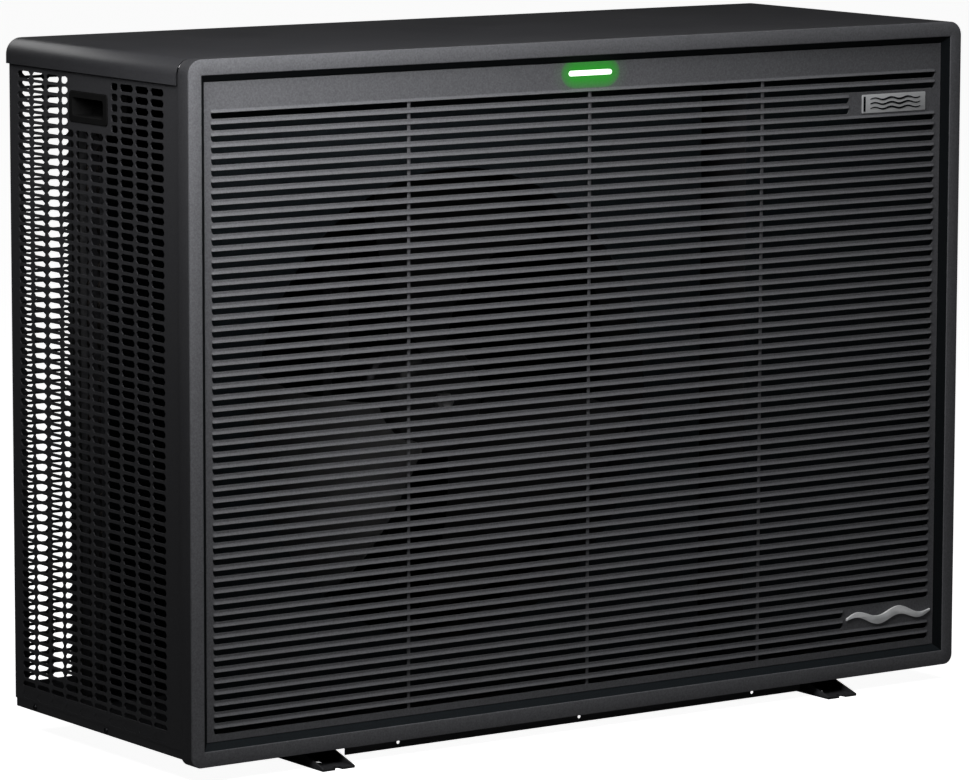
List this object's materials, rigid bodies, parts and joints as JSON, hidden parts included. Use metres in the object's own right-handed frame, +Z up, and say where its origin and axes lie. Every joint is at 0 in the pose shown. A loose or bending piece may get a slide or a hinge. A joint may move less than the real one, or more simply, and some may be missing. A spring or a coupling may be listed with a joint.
{
  "type": "pool heat pump",
  "caption": "Free-standing pool water heat pump: louvred front, perforated sides, fan, coil and compressor in a steel case on two channel feet, with water unions.",
  "frame": {"origin": "on the ground under the middle of the whole unit, water unions and foot tips included", "axes": "+X to the right when facing the louvred front, +Y from front to back, +Z up"},
  "size_m": [1.085, 0.401, 0.7615],
  "materials": {
    "paint_front": "graphite powder coat, fine texture",
    "paint_side": "near-black powder coat, satin",
    "paint_top": "near-black powder coat, satin",
    "paint_dark": "matt black coat",
    "plastic_black": "moulded, matt",
    "plastic_grey": "moulded, matt",
    "rubber": "matt",
    "steel": "turned",
    "steel_dark": "black enamel",
    "galvanised": "zinc coated",
    "fins": "thin fins with a blue coating",
    "copper": "bare copper tube",
    "brass": "bare brass",
    "brushed_aluminium": "brushed along its length",
    "chrome": "polished",
    "light_green": "translucent, lit from behind",
    "board_green": "circuit board"
  },
  "bodies": {
    "case": {"front_bezel": "paint_front", "louvre_panel": "paint_front", "front_frame": "paint_side", "left_side_panel": "paint_side", "right_side_panel": "paint_side", "rear_panel": "paint_side", "front_skirt": "paint_side", "left_foot": "paint_side", "right_foot": "paint_side", "top_cover": "paint_top", "grille_rib_left": "paint_dark", "grille_rib_centre": "paint_dark", "grille_rib_right": "paint_dark", "fan_shroud_plate": "paint_dark", "left_handle_cup": "plastic_black", "right_handle_cup": "plastic_black", "drain_spigot": "plastic_black", "inlet_union_tail": "plastic_black", "outlet_union_tail": "plastic_black", "terminal_cover": "plastic_black", "cable_gland": "plastic_black", "fan_ring": "plastic_grey", "heat_exchanger_shell": "plastic_grey", "inlet_port": "plastic_grey", "outlet_port": "plastic_grey", "compressor_mount_1": "rubber", "compressor_mount_2": "rubber", "compressor_mount_3": "rubber", "fan_motor": "steel_dark", "compressor": "steel_dark", "suction_accumulator": "steel_dark", "base_pan": "galvanised", "compressor_bay_sheet": "galvanised", "bulkhead": "galvanised", "motor_rail_left": "galvanised", "motor_rail_right": "galvanised", "evaporator_left_plate": "galvanised", "evaporator_right_plate": "galvanised", "electrical_box": "galvanised", "electrical_box_lid": "galvanised", "evaporator_fins": "fins", "evaporator_header": "copper", "discharge_pipe": "copper", "suction_pipe": "copper", "coil_gas_pipe": "copper", "exchanger_gas_pipe": "copper", "liquid_pipe_in": "copper", "liquid_pipe_out": "copper", "four_way_valve": "brass", "expansion_valve": "brass", "badge_plate": "brushed_aluminium", "wave_emblem": "chrome", "status_light_lens": "light_green", "status_light_board": "board_green", "control_board": "board_green"},
    "fan": {"fan_rotor": "plastic_black", "fan_shaft": "steel", "fan_nut": "steel"},
    "inlet_nut": {"inlet_union_nut": "plastic_black"},
    "outlet_nut": {"outlet_union_nut": "plastic_black"}
  },
  "joints": [
    {"name": "fan_spin", "type": "hinge", "parent": "case", "child": "fan", "pos_m": [-0.1785, -0.0755, 0.3705], "axis": [0, 1, 0], "continuous": true},
    {"name": "inlet_nut_turn", "type": "hinge", "parent": "case", "child": "inlet_nut", "pos_m": [0.5075, -0.0655, 0.1485], "axis": [1, 0, 0], "continuous": true},
    {"name": "outlet_nut_turn", "type": "hinge", "parent": "case", "child": "outlet_nut", "pos_m": [0.5075, -0.0655, 0.4435], "axis": [1, 0, 0], "continuous": true}
  ]
}
